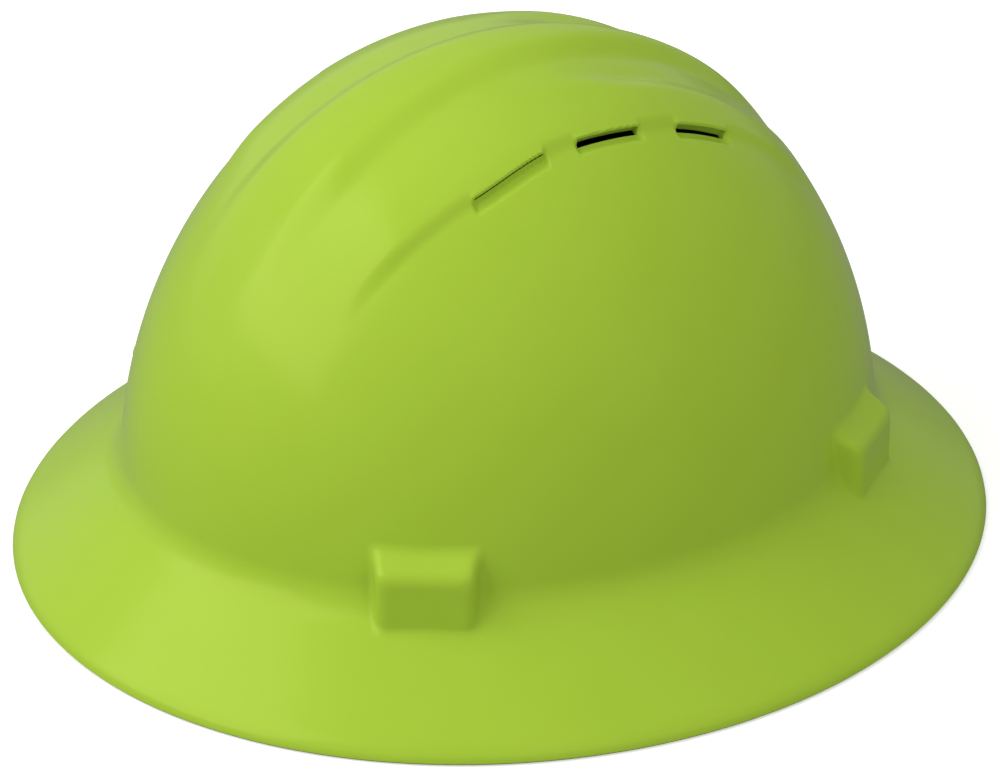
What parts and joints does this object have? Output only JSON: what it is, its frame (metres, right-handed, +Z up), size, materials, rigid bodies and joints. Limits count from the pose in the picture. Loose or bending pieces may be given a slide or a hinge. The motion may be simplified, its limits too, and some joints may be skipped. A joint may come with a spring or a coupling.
{
  "type": "full brim hard hat",
  "caption": "Full brim hard hat with a vented lime shell, a four point webbing suspension, a height adjustable headband and a nape ratchet knob.",
  "frame": {"origin": "centre of the bounding box at the plane the rim rests on", "axes": "+Z up, the front of the hat towards -Y, the wearer's left towards +X"},
  "size_m": [0.2886, 0.317, 0.1675],
  "materials": {
    "shell_plastic": "satin gloss",
    "key_plastic": "satin",
    "band_plastic": "satin",
    "ratchet_plastic": "fine texture",
    "spring_plastic": "satin",
    "grip_rubber": "matte",
    "webbing": "woven",
    "rivet_plastic": "satin",
    "pad_leather": "fine grain",
    "pad_fabric": "knitted",
    "pad_foam": "open cell foam",
    "screw_steel": "bright"
  },
  "bodies": {
    "shell": {"shell": "shell_plastic", "key_front_left": "key_plastic", "key_front_right": "key_plastic", "key_rear_left": "key_plastic", "key_rear_right": "key_plastic", "crown_strap_left": "webbing", "crown_strap_right": "webbing", "crown_pad": "pad_leather", "crown_rivet": "rivet_plastic", "strap_rivets": "rivet_plastic"},
    "headband": {"headband": "band_plastic", "hanger_front_left": "band_plastic", "hanger_front_right": "band_plastic", "hanger_rear_left": "band_plastic", "hanger_rear_right": "band_plastic", "brow_pad_core": "pad_foam", "brow_pad_cover": "pad_fabric", "nape_pad": "pad_fabric", "ratchet_case": "ratchet_plastic", "ratchet_cover": "ratchet_plastic", "cover_screws": "screw_steel"},
    "left_strap": {"adjusting_strap_left": "band_plastic"},
    "right_strap": {"adjusting_strap_right": "band_plastic"},
    "knob": {"knob": "ratchet_plastic", "knob_grip": "grip_rubber", "pinion": "ratchet_plastic", "knob_screw": "screw_steel", "detent_spring": "spring_plastic"}
  },
  "joints": [
    {"name": "headband_height", "type": "slide", "parent": "shell", "child": "headband", "axis": [0, 0, 1], "range_m": [-0.005, 0.005]},
    {"name": "knob_turn", "type": "hinge", "parent": "headband", "child": "knob", "pos_m": [0, 0.1, 0.028], "axis": [0, 1, 0], "range_deg": [-310, 310], "deforming": ["detent_spring"]},
    {"name": "left_strap_slide", "type": "hinge", "parent": "headband", "child": "left_strap", "pos_m": [0, 0.017, 0], "axis": [0, 0, 1], "range_deg": [-19, 19]},
    {"name": "right_strap_slide", "type": "hinge", "parent": "headband", "child": "right_strap", "pos_m": [0, 0.017, 0], "axis": [0, 0, 1], "range_deg": [-19, 19]}
  ],
  "couplings": [
    {"joint": "left_strap_slide", "follows": "knob_turn", "ratio": -0.059666},
    {"joint": "right_strap_slide", "follows": "knob_turn", "ratio": 0.061125}
  ]
}
